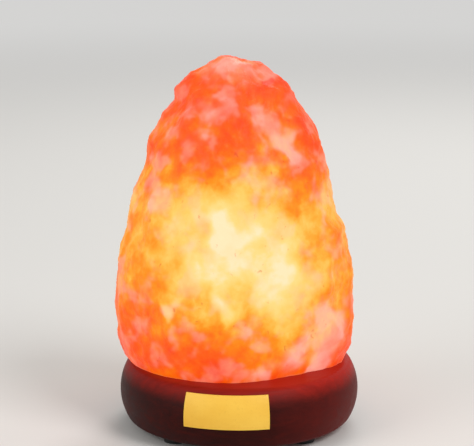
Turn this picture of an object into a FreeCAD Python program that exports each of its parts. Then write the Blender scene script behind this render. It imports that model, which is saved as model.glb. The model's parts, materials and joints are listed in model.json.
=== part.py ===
import FreeCAD, Part

import math
import os
import re

import Sketcher
from FreeCAD import Placement, Rotation, Vector

# A salt crystal lamp. A hollowed crystal stands screwed to a turned wooden base, and a light unit
# (plate, spring clips, lamp holder and bulb) is pushed up into both from below.
# The frame: Z up from the floor, the base's axis at X = Y = 0, the label towards -Y, the cord way to +Y.

# ---------------------------------------------------------------- driving sizes, in mm and degrees

SIZES = {
    # rubber feet and their screws
    "foot_height": 4.0,
    "foot_radius": 7.0,
    "foot_taper": 1.0,
    "foot_circle": 46.0,
    "foot_well_radius": 3.4,
    "foot_well_depth": 2.2,
    "foot_screw_radius": 1.3,
    "foot_screw_head_radius": 2.8,
    "foot_screw_head_height": 1.3,
    "foot_screw_length": 11.0,
    "foot_screw_point": 2.6,
    # wooden base
    "base_radius": 62.5,
    "base_thickness": 31.0,
    "base_bulge_radius": 27.5,
    "base_edge_rounding": 4.0,
    "light_hole_radius": 21.0,
    "plate_seat_depth": 1.3,
    "plate_seat_play": 0.4,
    "cord_way_radius": 4.5,
    "cord_height": 13.0,
    # salt crystal
    "crystal_height": 160.0,
    "crystal_width": 125.0,
    "crystal_depth": 106.0,
    "crystal_flat_depth": 1.8,
    "crystal_bore_radius": 22.0,
    "crystal_bore_depth": 90.0,
    "crystal_bore_rounding": 5.0,
    # plugs and screws that hold the crystal down
    "crystal_screw_circle": 33.0,
    "crystal_screw_radius": 2.2,
    "crystal_screw_head_radius": 4.2,
    "crystal_screw_head_height": 2.6,
    "crystal_screw_length": 42.0,
    "crystal_screw_point": 6.6,
    "crystal_screw_sink": 9.0,
    "crystal_screw_sink_play": 0.3,
    "crystal_plug_radius": 4.0,
    "crystal_plug_length": 28.0,
    # front label
    "label_width": 44.0,
    "label_height": 17.0,
    "label_thickness": 0.3,
    "label_rise": 4.6,
    "label_turn": 6.15,
    # rubber bush where the cord comes out
    "bush_bore_radius": 3.2,
    "bush_neck_radius": 5.9,
    "bush_neck_length": 7.0,
    "bush_flange_radius": 8.0,
    "bush_flange_thickness": 2.0,
    "bush_sink": 2.3,
    "bush_flange_play": 0.4,
    # clip plate
    "plate_radius": 26.0,
    "plate_thickness": 1.0,
    # spring clips, their feet and rivets
    "clip_thickness": 0.5,
    "clip_width": 7.0,
    "clip_pivot_radius": 15.9,
    "clip_bow_height": 18.5,
    "clip_top_height": 24.5,
    "clip_top_radius": 18.0,
    "clip_wall_gap": 0.3,
    "clip_foot_length": 4.2,
    "rivet_radius": 1.0,
    "rivet_head_radius": 1.5,
    "rivet_head_height": 0.7,
    "clip_rivet_circle": 18.7,
    # lamp holder: cap below, body above
    "holder_radius": 14.0,
    "holder_cap_height": 14.0,
    "holder_wall": 1.8,
    "holder_floor": 2.2,
    "cord_entry_radius": 3.4,
    "holder_boss_radius": 2.6,
    "holder_flange_height": 8.7,
    "holder_edge": 1.0,
    "holder_barrel_radius": 11.6,
    "holder_body_height": 26.7,
    "holder_partition": 3.0,
    "shell_seat_height": 2.3,
    "shell_seat_width": 1.8,
    "holder_mouth_radius": 9.2,
    "holder_mouth_depth": 2.0,
    # screws that hold cap, body and plate together
    "holder_screw_circle": 11.0,
    "holder_screw_radius": 1.5,
    "holder_screw_length": 20.5,
    "holder_screw_head_radius": 2.7,
    "holder_screw_head_height": 1.7,
    # contacts and terminals
    "thread_radius": 6.55,
    "thread_throw": 0.4,
    "thread_pitch": 2.822,
    "thread_play": 0.07,
    "metal_thickness": 0.35,
    "shell_height": 14.6,
    "shell_thread_height": 9.2,
    "shell_ring_bore": 3.6,
    "chamber_play": 0.2,
    "contact_strip_thickness": 0.4,
    "contact_strip_width": 4.0,
    "contact_foot_length": 2.8,
    "contact_pad_length": 1.8,
    "contact_tongue_x": 2.2,
    "contact_tongue_drop": 1.2,
    "contact_rivet_x": -3.6,
    "shell_rivet_x": 4.9,
    "shell_boss_radius": 1.4,
    "contact_rivet_radius": 0.6,
    "contact_rivet_head_radius": 1.1,
    "contact_rivet_head_height": 0.5,
    "terminal_width": 4.6,
    "terminal_depth": 8.0,
    "terminal_height": 5.5,
    "terminal_offset": 0.5,
    "wire_hole_radius": 1.1,
    "terminal_screw_radius": 1.2,
    "terminal_screw_head_radius": 2.0,
    "terminal_screw_head_height": 1.6,
    # bulb
    "bulb_tip_height": 20.7,
    "bulb_length": 60.0,
    "bulb_radius": 13.5,
    "bulb_glass_thickness": 0.7,
    "bulb_shoulder_radius": 34.0,
    "bulb_side_height": 5.0,
    "tip_radius": 2.4,
    "tip_height": 1.1,
    "insulator_height": 4.0,
    "insulator_seat": 2.0,
    "cap_thread_height": 11.3,
    "cap_collar_height": 4.0,
    "cap_collar_proud": 0.1,
    "cap_flare_height": 5.2,
    "cap_flare_radius": 8.6,
    "stem_radius": 2.0,
    "stem_height": 19.1,
    "filament_spread": 6.0,
    "filament_rise": 9.0,
    "filament_bow": 3.0,
    "lead_wire_radius": 0.3,
    "filament_radius": 0.25,
    # running gap between pieces that fit into each other
    "fit_gap": 0.05,
}

# ---------------------------------------------------------------- sizes and levels worked out from them

WORKED_OUT = {
    # levels of the base, from the floor up
    "base_underside": "foot_height",
    "base_top": "base_underside + base_thickness",
    "base_flat_radius": (
        "base_radius - base_bulge_radius + sqrt(base_bulge_radius ^ 2 - (base_thickness / 2) ^ 2)"
    ),
    "base_middle": "base_underside + base_thickness / 2",
    "bore_top": "base_top + crystal_bore_depth",
    # the plate lies in its seat, its top against the seat's ceiling
    "plate_top": "base_underside + plate_seat_depth",
    "plate_underside": "plate_top - plate_thickness",
    "plate_seat_radius": "plate_radius + plate_seat_play",
    # clips: the pivot is the bend where the arm leaves its foot
    "clip_pivot_height": "plate_top + clip_thickness / 2 + fit_gap",
    "clip_foot_start": "clip_pivot_radius + clip_thickness / 2 + fit_gap",
    "clip_bow_radius": "sqrt((light_hole_radius - clip_wall_gap) ^ 2 - (clip_width / 2) ^ 2)",
    "clip_foot_top": "plate_top + clip_thickness",
    # lamp holder
    "holder_cap_top": "plate_top + holder_cap_height",
    "holder_cap_floor": "plate_top + holder_floor",
    "chamber_floor": "holder_cap_top + holder_partition",
    "shell_seat": "chamber_floor + shell_seat_height",
    "holder_top": "holder_cap_top + holder_body_height",
    "shell_thread_radius": "thread_radius + thread_play",
    "chamber_radius": "shell_thread_radius + metal_thickness + thread_throw + chamber_play",
    "shell_cup_radius": "chamber_radius - chamber_play / 2",
    "shell_ring_top": "shell_seat + metal_thickness",
    "shell_top": "shell_seat + shell_height",
    "shell_shoulder": "shell_top - shell_thread_height",
    "screw_bore_radius": "holder_screw_radius + fit_gap",
    # bulb: measured from the tip that touches the centre contact
    "bulb_tip": "plate_top + bulb_tip_height",
    "tip_top": "bulb_tip + tip_height",
    "insulator_bottom": "tip_top + fit_gap",
    "cap_bottom": "bulb_tip + insulator_height",
    "cap_thread_top": "cap_bottom + cap_thread_height",
    "cap_outer_radius": "thread_radius + thread_throw",
    "cap_inner_radius": "thread_radius - metal_thickness - thread_throw",
    "cap_collar_radius": "cap_outer_radius + cap_collar_proud",
    "cap_collar_top": "cap_thread_top + cap_collar_height",
    "cap_top": "cap_collar_top + cap_flare_height",
    "neck_radius": "cap_outer_radius - metal_thickness - fit_gap * 2",
    "neck_top_radius": "cap_flare_radius - metal_thickness - fit_gap * 2",
    "neck_bottom": "cap_thread_top + fit_gap",
    "bulb_top": "bulb_tip + bulb_length",
    "dome_start": "bulb_top - bulb_radius",
    "neutral_terminal_x": "shell_rivet_x + terminal_offset",
    "stem_top": "neck_bottom + stem_height",
    "filament_height": "stem_top + filament_rise",
    # the bush sits in a spot face at the back of the base
    "bush_face": "base_radius - bush_sink",
    "bush_neck_hole_radius": "bush_neck_radius + fit_gap",
    "bush_flange_hole_radius": "bush_flange_radius + bush_flange_play",
}

CLIP_TURNS = (30, 150, 270)
CRYSTAL_SCREW_TURNS = (30, 150, 270)
FOOT_TURNS = (45, 135, 225, 315)
SIDES = (-1, 1)

PAST = 1.0  # how far a cutting shape runs past the faces that it opens
CROWN_SHARE = 0.6  # the flat top of a rounded head or tip, as a share of its radius
OUTLINE_FINENESS = 0.2  # how closely the crystal's reach is measured before its flats are hewn

# The crystal, chosen by eye from the photograph: at each level its height as a share of crystal_height,
# how far the level leans to the left, and its reach as a share of the crystal's width and depth, on
# eight spokes anticlockwise from the right: right, back right, back, back left, left, front left,
# front, front right.
CRYSTAL_LEVELS = (
    (0.000, 0.000, (0.450, 0.440, 0.430, 0.430, 0.450, 0.445, 0.434, 0.390)),
    (0.050, 0.000, (0.466, 0.465, 0.455, 0.455, 0.490, 0.475, 0.455, 0.412)),
    (0.175, 0.000, (0.472, 0.478, 0.480, 0.488, 0.512, 0.500, 0.475, 0.440)),
    (0.325, 0.000, (0.469, 0.470, 0.475, 0.480, 0.504, 0.490, 0.470, 0.445)),
    (0.410, 0.000, (0.450, 0.455, 0.455, 0.470, 0.482, 0.480, 0.455, 0.430)),
    (0.490, 0.000, (0.410, 0.430, 0.440, 0.450, 0.460, 0.465, 0.440, 0.400)),
    (0.575, 0.000, (0.384, 0.400, 0.415, 0.420, 0.435, 0.430, 0.410, 0.365)),
    (0.650, 0.002, (0.367, 0.375, 0.385, 0.385, 0.392, 0.395, 0.375, 0.345)),
    (0.750, 0.006, (0.334, 0.335, 0.345, 0.340, 0.364, 0.350, 0.330, 0.305)),
    (0.850, 0.014, (0.264, 0.265, 0.280, 0.275, 0.293, 0.285, 0.265, 0.240)),
    (0.920, 0.026, (0.216, 0.205, 0.210, 0.205, 0.218, 0.208, 0.195, 0.190)),
    (0.970, 0.036, (0.140, 0.132, 0.132, 0.126, 0.126, 0.124, 0.120, 0.122)),
    (1.000, 0.046, (0.052, 0.050, 0.050, 0.050, 0.050, 0.048, 0.048, 0.050)),
)
# The flats hewn off the crystal, chosen by eye: the way each one faces, in degrees round from the right
# and in degrees up, and its depth as a share of crystal_flat_depth.
CRYSTAL_FLATS = (
    (2, -2, 0.9), (38, 2, 1.1), (74, -3, 0.8), (112, 1, 1.1), (150, -2, 0.9),
    (188, 1, 0.8), (226, -3, 1.1), (258, 2, 0.9), (292, -2, 1.1), (328, 3, 1.2),
    (18, 10, 1.1), (58, 12, 0.9), (96, 9, 1.1), (134, 13, 0.8), (170, 10, 1.0),
    (208, 12, 0.9), (243, 9, 1.1), (276, 12, 0.9), (310, 10, 1.1), (346, 13, 0.8),
    (0, 24, 0.8), (42, 28, 1.0), (86, 22, 0.9), (128, 27, 1.1), (168, 24, 0.8),
    (214, 28, 0.9), (252, 23, 0.9), (296, 27, 1.1), (334, 22, 0.9),
    (20, 46, 0.9), (92, 50, 0.8), (160, 44, 0.9), (232, 50, 0.8), (304, 46, 0.9),
)  # fmt: skip

# ---------------------------------------------------------------- document, sheet and helpers

doc = FreeCAD.newDocument("salt_crystal_lamp")
sheet = doc.addObject("Spreadsheet::Sheet", "Dims")
for row, (alias, size) in enumerate(SIZES.items(), start=1):
    sheet.set(f"A{row}", alias)
    sheet.set(f"B{row}", str(size))
    sheet.setAlias(f"B{row}", alias)
doc.recompute()

NODES = []


def bound(text):
    """An expression in plain names, with each name turned into its cell or what it is worked out from."""

    def swap(match):
        word = match[0]
        if word in SIZES:
            return f"Dims.{word}"
        if word in WORKED_OUT:
            return f"({bound(WORKED_OUT[word])})"
        return word

    return re.sub(r"[A-Za-z_]\w*", swap, text)


def value(text):
    """The number that an expression comes to."""
    return float(sheet.evalExpression(bound(text)))


def keep(piece, label):
    """Names a finished sub-part, which is later written to a file of that name."""
    piece.Label = label
    NODES.append(piece)
    return piece


def place(piece, at=("0", "0", "0"), axis=(0, 0, 1), turn="0"):
    """Binds a piece's place and its turn in degrees about an axis."""
    piece.Placement = Placement(Vector(), Rotation(Vector(*axis), 1))
    for letter, text in zip("xyz", at):
        piece.setExpression(f"Placement.Base.{letter}", bound(text))
    piece.setExpression("Placement.Rotation.Angle", bound(turn))
    return piece


def around(radius, turn, height="0"):
    """A place at a radius from the axis, turned by degrees."""
    return (f"({radius}) * cos({turn} deg)", f"({radius}) * sin({turn} deg)", height)


def cylinder(name, radius, bottom, top, x="0", y="0"):
    piece = doc.addObject("Part::Cylinder", name)
    piece.setExpression("Radius", bound(radius))
    piece.setExpression("Height", bound(f"({top}) - ({bottom})"))
    return place(piece, (x, y, bottom))


def back_cylinder(name, radius, near, far, x="0", height="cord_height"):
    """A cylinder that lies along +Y from near to far."""
    piece = doc.addObject("Part::Cylinder", name)
    piece.setExpression("Radius", bound(radius))
    piece.setExpression("Height", bound(f"({far}) - ({near})"))
    return place(piece, (x, near, height), axis=(1, 0, 0), turn="-90")


def box(name, low, high):
    piece = doc.addObject("Part::Box", name)
    for size, start, end in zip(("Length", "Width", "Height"), low, high):
        piece.setExpression(size, bound(f"({end}) - ({start})"))
    return place(piece, low)


def fuse(name, pieces):
    piece = doc.addObject("Part::MultiFuse", name)
    piece.Shapes = pieces
    return piece


def cut(name, base, tools):
    piece = doc.addObject("Part::Cut", name)
    piece.Base = base
    piece.Tool = tools[0] if len(tools) == 1 else fuse(name + "_tools", tools)
    return piece


def group(name, pieces):
    piece = doc.addObject("Part::Compound", name)
    piece.Links = pieces
    return piece


def arc_between(start, end, radius, side):
    """An arc from start to end; side is 1 where it bulges to the right of that way, -1 to the left."""
    chord = end - start
    outward = Vector(chord.y, -chord.x, 0).normalize() * side
    centre = (start + end) * 0.5 - outward * math.sqrt(radius**2 - (chord.Length / 2) ** 2)
    turns = [math.atan2(point.y - centre.y, point.x - centre.x) for point in (start, end)]
    if side < 0:
        turns.reverse()
    return Part.ArcOfCircle(Part.Circle(centre, Vector(0, 0, 1), radius), *turns)


def turned(name, outline, angle="360"):
    """A body turned about its own Z axis.

    The outline is a closed list of (radius, height) expressions. A third and fourth item make the edge
    to the next point an arc of that radius, which bulges right (1) or left (-1) of the way there.
    """
    body = doc.addObject("PartDesign::Body", name)
    sketch = body.newObject("Sketcher::SketchObject", name + "_outline")
    plane = next(item for item in body.Origin.OriginFeatures if item.Role == "XZ_Plane")
    sketch.AttachmentSupport = (plane, [""])
    sketch.MapMode = "FlatFace"
    points = [Vector(value(item[0]), value(item[1]), 0) for item in outline]
    last = len(outline) - 1
    for index, item in enumerate(outline):
        start, end = points[index], points[(index + 1) % len(points)]
        if len(item) == 2:
            sketch.addGeometry(Part.LineSegment(start, end))
        else:
            sketch.addGeometry(arc_between(start, end, value(item[2]), item[3]))
    ends = [(1, 2) if len(item) == 2 or item[3] > 0 else (2, 1) for item in outline]
    for index in range(len(outline)):
        after = 0 if index == last else index + 1
        sketch.addConstraint(
            Sketcher.Constraint("Coincident", index, ends[index][1], after, ends[after][0])
        )
    for index, item in enumerate(outline):
        start = ends[index][0]
        for kind, text, coordinate in (
            ("DistanceX", item[0], points[index].x),
            ("DistanceY", item[1], points[index].y),
        ):
            if text == "0":
                sketch.addConstraint(
                    Sketcher.Constraint("PointOnObject", index, start, -2 if kind == "DistanceX" else -1)
                )
                continue
            number = sketch.addConstraint(
                Sketcher.Constraint(kind, -1, 1, index, start, coordinate)
            )
            sketch.setExpression(f"Constraints[{number}]", bound(text))
        if len(item) > 2:
            number = sketch.addConstraint(Sketcher.Constraint("Radius", index, value(item[2])))
            sketch.setExpression(f"Constraints[{number}]", bound(item[2]))
    revolution = body.newObject("PartDesign::Revolution", name + "_turning")
    revolution.Profile = sketch
    revolution.ReferenceAxis = (sketch, ["V_Axis"])
    revolution.setExpression("Angle", bound(angle))
    revolution.Midplane = angle != "360"
    body.Tip = revolution
    sketch.Visibility = False
    return body


def shaped(name, shape):
    """A piece whose shape is set by code, from sizes read from the sheet."""
    piece = doc.addObject("Part::Feature", name)
    piece.Shape = shape
    return piece


# ---------------------------------------------------------------- rubber feet


def rubber_foot(number, turn):
    body = turned(
        f"foot_{number}",
        [
            ("foot_well_radius", "0"),
            ("foot_radius - foot_taper", "0"),
            ("foot_radius", "foot_height"),
            ("foot_screw_radius + fit_gap", "foot_height"),
            ("foot_screw_radius + fit_gap", "foot_well_depth"),
            ("foot_well_radius", "foot_well_depth"),
        ],
    )
    return keep(place(body, around("foot_circle", turn)), f"rubber_foot_{number}")


def foot_screw(number, turn):
    head_bottom = "foot_well_depth - foot_screw_head_height"
    body = turned(
        f"foot_screw_{number}",
        [
            ("0", head_bottom),
            ("foot_screw_head_radius", head_bottom),
            ("foot_screw_head_radius", "foot_well_depth"),
            ("foot_screw_radius", "foot_well_depth"),
            ("foot_screw_radius", "foot_well_depth + foot_screw_length - foot_screw_point"),
            ("0", "foot_well_depth + foot_screw_length"),
        ],
    )
    return place(body, around("foot_circle", turn))


for number, turn in enumerate(FOOT_TURNS, start=1):
    rubber_foot(number, turn)
keep(group("foot_screw_group", [foot_screw(n, t) for n, t in enumerate(FOOT_TURNS)]), "foot_screws")


# ---------------------------------------------------------------- wooden base


def base_blank():
    """The turned disc with its bulging side and rounded edges."""
    body = turned(
        "base_blank",
        [
            ("0", "base_underside"),
            ("base_flat_radius", "base_underside", "base_bulge_radius", 1),
            ("base_flat_radius", "base_top"),
            ("0", "base_top"),
        ],
    )
    doc.recompute()
    turning = body.Tip
    edge_names = [
        f"Edge{index}"
        for index, edge in enumerate(turning.Shape.Edges, start=1)
        if isinstance(edge.Curve, Part.Circle)
        and abs(edge.Curve.Radius - value("base_flat_radius")) < 0.01
    ]
    rounding = body.newObject("PartDesign::Fillet", "base_rounding")
    rounding.Base = (turning, edge_names)
    rounding.setExpression("Radius", bound("base_edge_rounding"))
    body.Tip = rounding
    return body


def wooden_base():
    below = f"base_underside - {PAST}"
    through = (below, f"base_top + {PAST}")
    bush_end = f"bush_face - bush_neck_length - {PAST}"
    tools = [
        cylinder("light_hole", "light_hole_radius", *through),
        cylinder("plate_seat", "plate_seat_radius", below, "plate_top"),
        back_cylinder("cord_way", "cord_way_radius", "light_hole_radius / 2", "bush_face"),
        back_cylinder("bush_hole", "bush_neck_hole_radius", bush_end, "bush_face"),
        back_cylinder("bush_spot_face", "bush_flange_hole_radius", "bush_face", f"base_radius + {PAST}"),
    ]
    for turn in CRYSTAL_SCREW_TURNS:
        x, y, _ = around("crystal_screw_circle", turn)
        tools += [
            cylinder(f"screw_way_{turn}", "crystal_screw_radius + fit_gap", *through, x, y),
            cylinder(
                f"screw_sink_{turn}",
                "crystal_screw_head_radius + crystal_screw_sink_play",
                below,
                "base_underside + crystal_screw_sink",
                x,
                y,
            ),
        ]
    for turn in FOOT_TURNS:
        x, y, _ = around("foot_circle", turn)
        tools.append(
            cylinder(
                f"foot_pilot_{turn}",
                "foot_screw_radius + fit_gap",
                below,
                f"foot_well_depth + foot_screw_length + {PAST}",
                x,
                y,
            )
        )
    return keep(cut("base_cut", base_blank(), tools), "wooden_base")


wooden_base()


# ---------------------------------------------------------------- front label


def front_label():
    """A bare plate bent round the bulging side of the base."""
    middle = "(base_middle + label_rise)"
    # the side is an arc of base_bulge_radius about a ring; the label is the same arc a little further out
    ring = "(base_radius - base_bulge_radius)"
    low, high = (f"({middle} {sign} label_height / 2 - base_middle)" for sign in "-+")

    def reach(radius, rise):
        return f"{ring} + sqrt(({radius}) ^ 2 - {rise} ^ 2)"

    inner, outer = "base_bulge_radius", "base_bulge_radius + label_thickness"
    arc_turn = "label_width / base_radius * 180 / pi"
    body = turned(
        "label_body",
        [
            (reach(inner, low), f"base_middle + {low}"),
            (reach(outer, low), f"base_middle + {low}", outer, 1),
            (reach(outer, high), f"base_middle + {high}"),
            (reach(inner, high), f"base_middle + {high}", inner, -1),
        ],
        angle=arc_turn,
    )
    return keep(place(body, turn="-90 - label_turn"), "front_label")


front_label()


# ---------------------------------------------------------------- salt crystal


def crystal_section(height, lean, reaches):
    """One closed smooth outline of the crystal, flat at its level."""
    width, depth = value("crystal_width"), value("crystal_depth")
    points = []
    for index, reach in enumerate(reaches):
        turn = 2 * math.pi * index / len(reaches)
        points.append(
            Vector(
                width * (reach * math.cos(turn) - lean),
                depth * reach * math.sin(turn),
                value("base_top") + value("crystal_height") * height,
            )
        )
    curve = Part.BSplineCurve()
    curve.interpolate(points, PeriodicFlag=True)
    return Part.Wire(curve.toShape())


def crystal_block(smooth):
    """A many-sided block whose plane faces lie the flats' depths inside the smooth crystal."""
    size = 4 * max(value("crystal_width"), value("crystal_depth"), value("crystal_height"))
    centred = Vector(-size / 2, -size / 2, 0)
    points = smooth.tessellate(OUTLINE_FINENESS)[0]
    block = Part.makeBox(size, size, size, centred)
    for turn, rise, share in CRYSTAL_FLATS:
        turn, rise = math.radians(turn), math.radians(rise)
        way = Vector(math.cos(turn) * math.cos(rise), math.sin(turn) * math.cos(rise), math.sin(rise))
        reach = max(point.dot(way) for point in points) - share * value("crystal_flat_depth")
        slab = Part.makeBox(size, size, size, centred)
        slab.Placement = FreeCAD.Placement(way * reach, FreeCAD.Rotation(Vector(0, 0, 1), way))
        block = block.cut(slab)
    return block


def salt_crystal():
    sections = [crystal_section(*level) for level in CRYSTAL_LEVELS]
    smooth = Part.makeLoft(sections, True, False)
    stone = shaped("crystal_stone", smooth.common(crystal_block(smooth)))
    bore = turned(
        "crystal_bore",
        [
            ("0", f"base_top - {PAST}"),
            ("crystal_bore_radius", f"base_top - {PAST}"),
            ("crystal_bore_radius", "bore_top - crystal_bore_rounding"),
            ("crystal_bore_radius - crystal_bore_rounding", "bore_top"),
            ("0", "bore_top"),
        ],
    )
    tools = [bore]
    for turn in CRYSTAL_SCREW_TURNS:
        x, y, _ = around("crystal_screw_circle", turn)
        tools.append(
            cylinder(
                f"plug_hole_{turn}",
                "crystal_plug_radius + fit_gap",
                f"base_top - {PAST}",
                "base_top + crystal_plug_length + fit_gap",
                x,
                y,
            )
        )
    return keep(cut("crystal_cut", stone, tools), "salt_crystal")


salt_crystal()


# ---------------------------------------------------------------- crystal screws and plugs


def crystal_screw(turn):
    head = "base_underside + crystal_screw_sink"
    head_bottom = f"{head} - crystal_screw_head_height"
    tip = f"{head_bottom} + crystal_screw_length"
    body = turned(
        f"crystal_screw_{turn}",
        [
            ("0", head_bottom),
            ("crystal_screw_head_radius", head_bottom),
            ("crystal_screw_head_radius", head),
            ("crystal_screw_radius", head),
            ("crystal_screw_radius", f"{tip} - crystal_screw_point"),
            ("0", tip),
        ],
    )
    return place(body, around("crystal_screw_circle", turn))


def crystal_plug(turn):
    top = "base_top + crystal_plug_length"
    bore = "crystal_screw_radius + fit_gap"
    tip = "base_underside + crystal_screw_sink - crystal_screw_head_height + crystal_screw_length"
    body = turned(
        f"crystal_plug_{turn}",
        [
            (bore, "base_top + fit_gap"),
            ("crystal_plug_radius", "base_top + fit_gap"),
            ("crystal_plug_radius", top),
            ("0", top),
            ("0", f"{tip} + fit_gap * 2"),
            (bore, f"{tip} - crystal_screw_point + fit_gap * 2"),
        ],
    )
    return place(body, around("crystal_screw_circle", turn))


keep(group("crystal_screw_group", [crystal_screw(t) for t in CRYSTAL_SCREW_TURNS]), "crystal_screws")
keep(group("crystal_plug_group", [crystal_plug(t) for t in CRYSTAL_SCREW_TURNS]), "crystal_plugs")


# ---------------------------------------------------------------- bush for the cord


def cord_bush():
    rim = "bush_flange_thickness / 3"
    body = turned(
        "bush_body",
        [
            ("bush_bore_radius", "-bush_neck_length"),
            ("bush_neck_radius", "-bush_neck_length"),
            ("bush_neck_radius", "0"),
            ("bush_flange_radius", "0"),
            ("bush_flange_radius", f"bush_flange_thickness - {rim}"),
            (f"bush_flange_radius - {rim}", "bush_flange_thickness"),
            (f"bush_bore_radius + {rim}", "bush_flange_thickness"),
            ("bush_bore_radius", f"bush_flange_thickness - {rim}"),
        ],
    )
    return keep(place(body, ("0", "bush_face", "cord_height"), axis=(1, 0, 0), turn="-90"), "cord_bush")


cord_bush()


# ---------------------------------------------------------------- clip plate, clips and rivets


def clip_plate():
    disc = cylinder("plate_disc", "plate_radius", "plate_underside", "plate_top")
    through = (f"plate_underside - {PAST}", f"plate_top + {PAST}")
    tools = []
    for turn in CLIP_TURNS:
        x, y, _ = around("clip_rivet_circle", turn)
        tools.append(cylinder(f"plate_rivet_hole_{turn}", "rivet_radius + fit_gap", *through, x, y))
    for side in SIDES:
        x = f"{side} * holder_screw_circle"
        tools.append(cylinder(f"plate_screw_hole_{side + 1}", "screw_bore_radius", *through, x))
    return keep(cut("plate_cut", disc, tools), "clip_plate")


def bent_strip(name, path, thickness, width):
    """A strip of sheet metal: a path of (x, z) points, given thickness, rounded ends and width along Y."""
    points = [Vector(value(x), 0, value(z)) for x, z in path]
    line = Part.makePolygon(points)
    face = line.makeOffset2D(value(thickness) / 2, 0, True, False, False)
    face.translate(Vector(0, -value(width) / 2, 0))
    return shaped(name, face.extrude(Vector(0, value(width), 0)))


def spring_clip(number, turn):
    """The arm of a clip, which leans out against the wall of the hole and turns in again at its top."""
    path = [
        ("clip_pivot_radius", "clip_pivot_height"),
        ("clip_bow_radius - clip_thickness / 2", "plate_top + clip_bow_height"),
        ("clip_top_radius", "plate_top + clip_top_height"),
    ]
    arm = bent_strip(f"clip_arm_{number}", path, "clip_thickness", "clip_width")
    return keep(place(arm, turn=str(turn)), f"spring_clip_{number}")


def clip_foot(number, turn):
    blank = box(
        f"clip_foot_blank_{number}",
        ("clip_foot_start", "-clip_width / 2", "plate_top"),
        ("clip_foot_start + clip_foot_length", "clip_width / 2", "clip_foot_top"),
    )
    hole = cylinder(
        f"clip_foot_hole_{number}",
        "rivet_radius + fit_gap",
        f"plate_top - {PAST}",
        f"clip_foot_top + {PAST}",
        "clip_rivet_circle",
    )
    return place(cut(f"clip_foot_{number}", blank, [hole]), turn=str(turn))


def clip_rivet(number, turn):
    body = turned(
        f"clip_rivet_{number}",
        [
            ("0", "plate_underside - rivet_head_height"),
            ("rivet_head_radius", "plate_underside - rivet_head_height"),
            ("rivet_head_radius", "plate_underside"),
            ("rivet_radius", "plate_underside"),
            ("rivet_radius", "clip_foot_top"),
            ("rivet_head_radius", "clip_foot_top"),
            (f"rivet_head_radius * {CROWN_SHARE}", "clip_foot_top + rivet_head_height"),
            ("0", "clip_foot_top + rivet_head_height"),
        ],
    )
    return place(body, around("clip_rivet_circle", turn))


clip_plate()
for number, turn in enumerate(CLIP_TURNS, start=1):
    spring_clip(number, turn)
keep(group("clip_foot_group", [clip_foot(n, t) for n, t in enumerate(CLIP_TURNS)]), "clip_feet")
keep(group("clip_rivet_group", [clip_rivet(n, t) for n, t in enumerate(CLIP_TURNS)]), "clip_rivets")


# ---------------------------------------------------------------- lamp holder


def holder_cap():
    """The lower cup, with the side entry for the cord and a boss round each screw."""
    outer = cylinder("cap_outside", "holder_radius", "plate_top", "holder_cap_top")
    above = f"holder_cap_top + {PAST}"
    hollow = cylinder("cap_hollow", "holder_radius - holder_wall", "holder_cap_floor", above)
    cup = cut("cap_cup", outer, [hollow])
    outside = f"holder_radius + {PAST}"
    entry = back_cylinder("cap_cord_entry", "cord_entry_radius", "holder_radius / 2", outside)
    bosses, bores = [], [entry]
    for side in SIDES:
        x = f"{side} * holder_screw_circle"
        bosses.append(
            cylinder(f"cap_boss_{side + 1}", "holder_boss_radius", "plate_top", "holder_cap_top", x)
        )
        bores.append(
            cylinder(f"cap_bore_{side + 1}", "screw_bore_radius", f"plate_top - {PAST}", above, x)
        )
    return keep(cut("cap_cut", fuse("cap_solid", [cup] + bosses), bores), "holder_cap")


def holder_body():
    """The upper sleeve, with the chamber for the threaded shell and a stepped floor for the contacts."""
    flange_top = "holder_cap_top + holder_flange_height"
    sleeve = turned(
        "body_sleeve",
        [
            ("0", "holder_cap_top"),
            ("holder_radius", "holder_cap_top"),
            ("holder_radius", f"{flange_top} - holder_edge"),
            ("holder_radius - holder_edge", flange_top),
            ("holder_barrel_radius", flange_top),
            ("holder_barrel_radius", "holder_top"),
            ("holder_mouth_radius", "holder_top"),
            ("chamber_radius", "holder_top - holder_mouth_depth"),
            ("chamber_radius", "shell_seat"),
            ("chamber_radius - shell_seat_width", "shell_seat"),
            ("chamber_radius - shell_seat_width", "chamber_floor"),
            ("0", "chamber_floor"),
        ],
    )
    below = f"holder_cap_top - {PAST}"
    screw_top = "plate_underside + holder_screw_length + fit_gap * 2"
    tools = []
    for side in SIDES:
        x = f"{side} * holder_screw_circle"
        tools.append(cylinder(f"body_bore_{side + 1}", "screw_bore_radius", below, screw_top, x))
    for name, x in (("contact", "contact_rivet_x"), ("shell", "shell_rivet_x")):
        tools.append(
            cylinder(
                f"body_{name}_rivet_hole",
                "contact_rivet_radius + fit_gap",
                below,
                f"shell_seat + {PAST}",
                x,
            )
        )
    boss = cylinder("body_rivet_boss", "shell_boss_radius", "holder_cap_top", "shell_seat", "shell_rivet_x")
    return keep(cut("body_cut", fuse("body_solid", [sleeve, boss]), tools), "holder_body")


def holder_screw(side):
    head_bottom = "plate_underside - holder_screw_head_height"
    body = turned(
        f"holder_screw_{side + 1}",
        [
            ("0", head_bottom),
            ("holder_screw_head_radius", head_bottom),
            ("holder_screw_head_radius", "plate_underside"),
            ("holder_screw_radius", "plate_underside"),
            ("holder_screw_radius", "plate_underside + holder_screw_length"),
            ("0", "plate_underside + holder_screw_length"),
        ],
    )
    return place(body, (f"{side} * holder_screw_circle", "0", "0"))


holder_cap()
holder_body()
keep(group("holder_screw_group", [holder_screw(side) for side in SIDES]), "holder_screws")


# ---------------------------------------------------------------- threaded shells, holder's and bulb's


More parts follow.
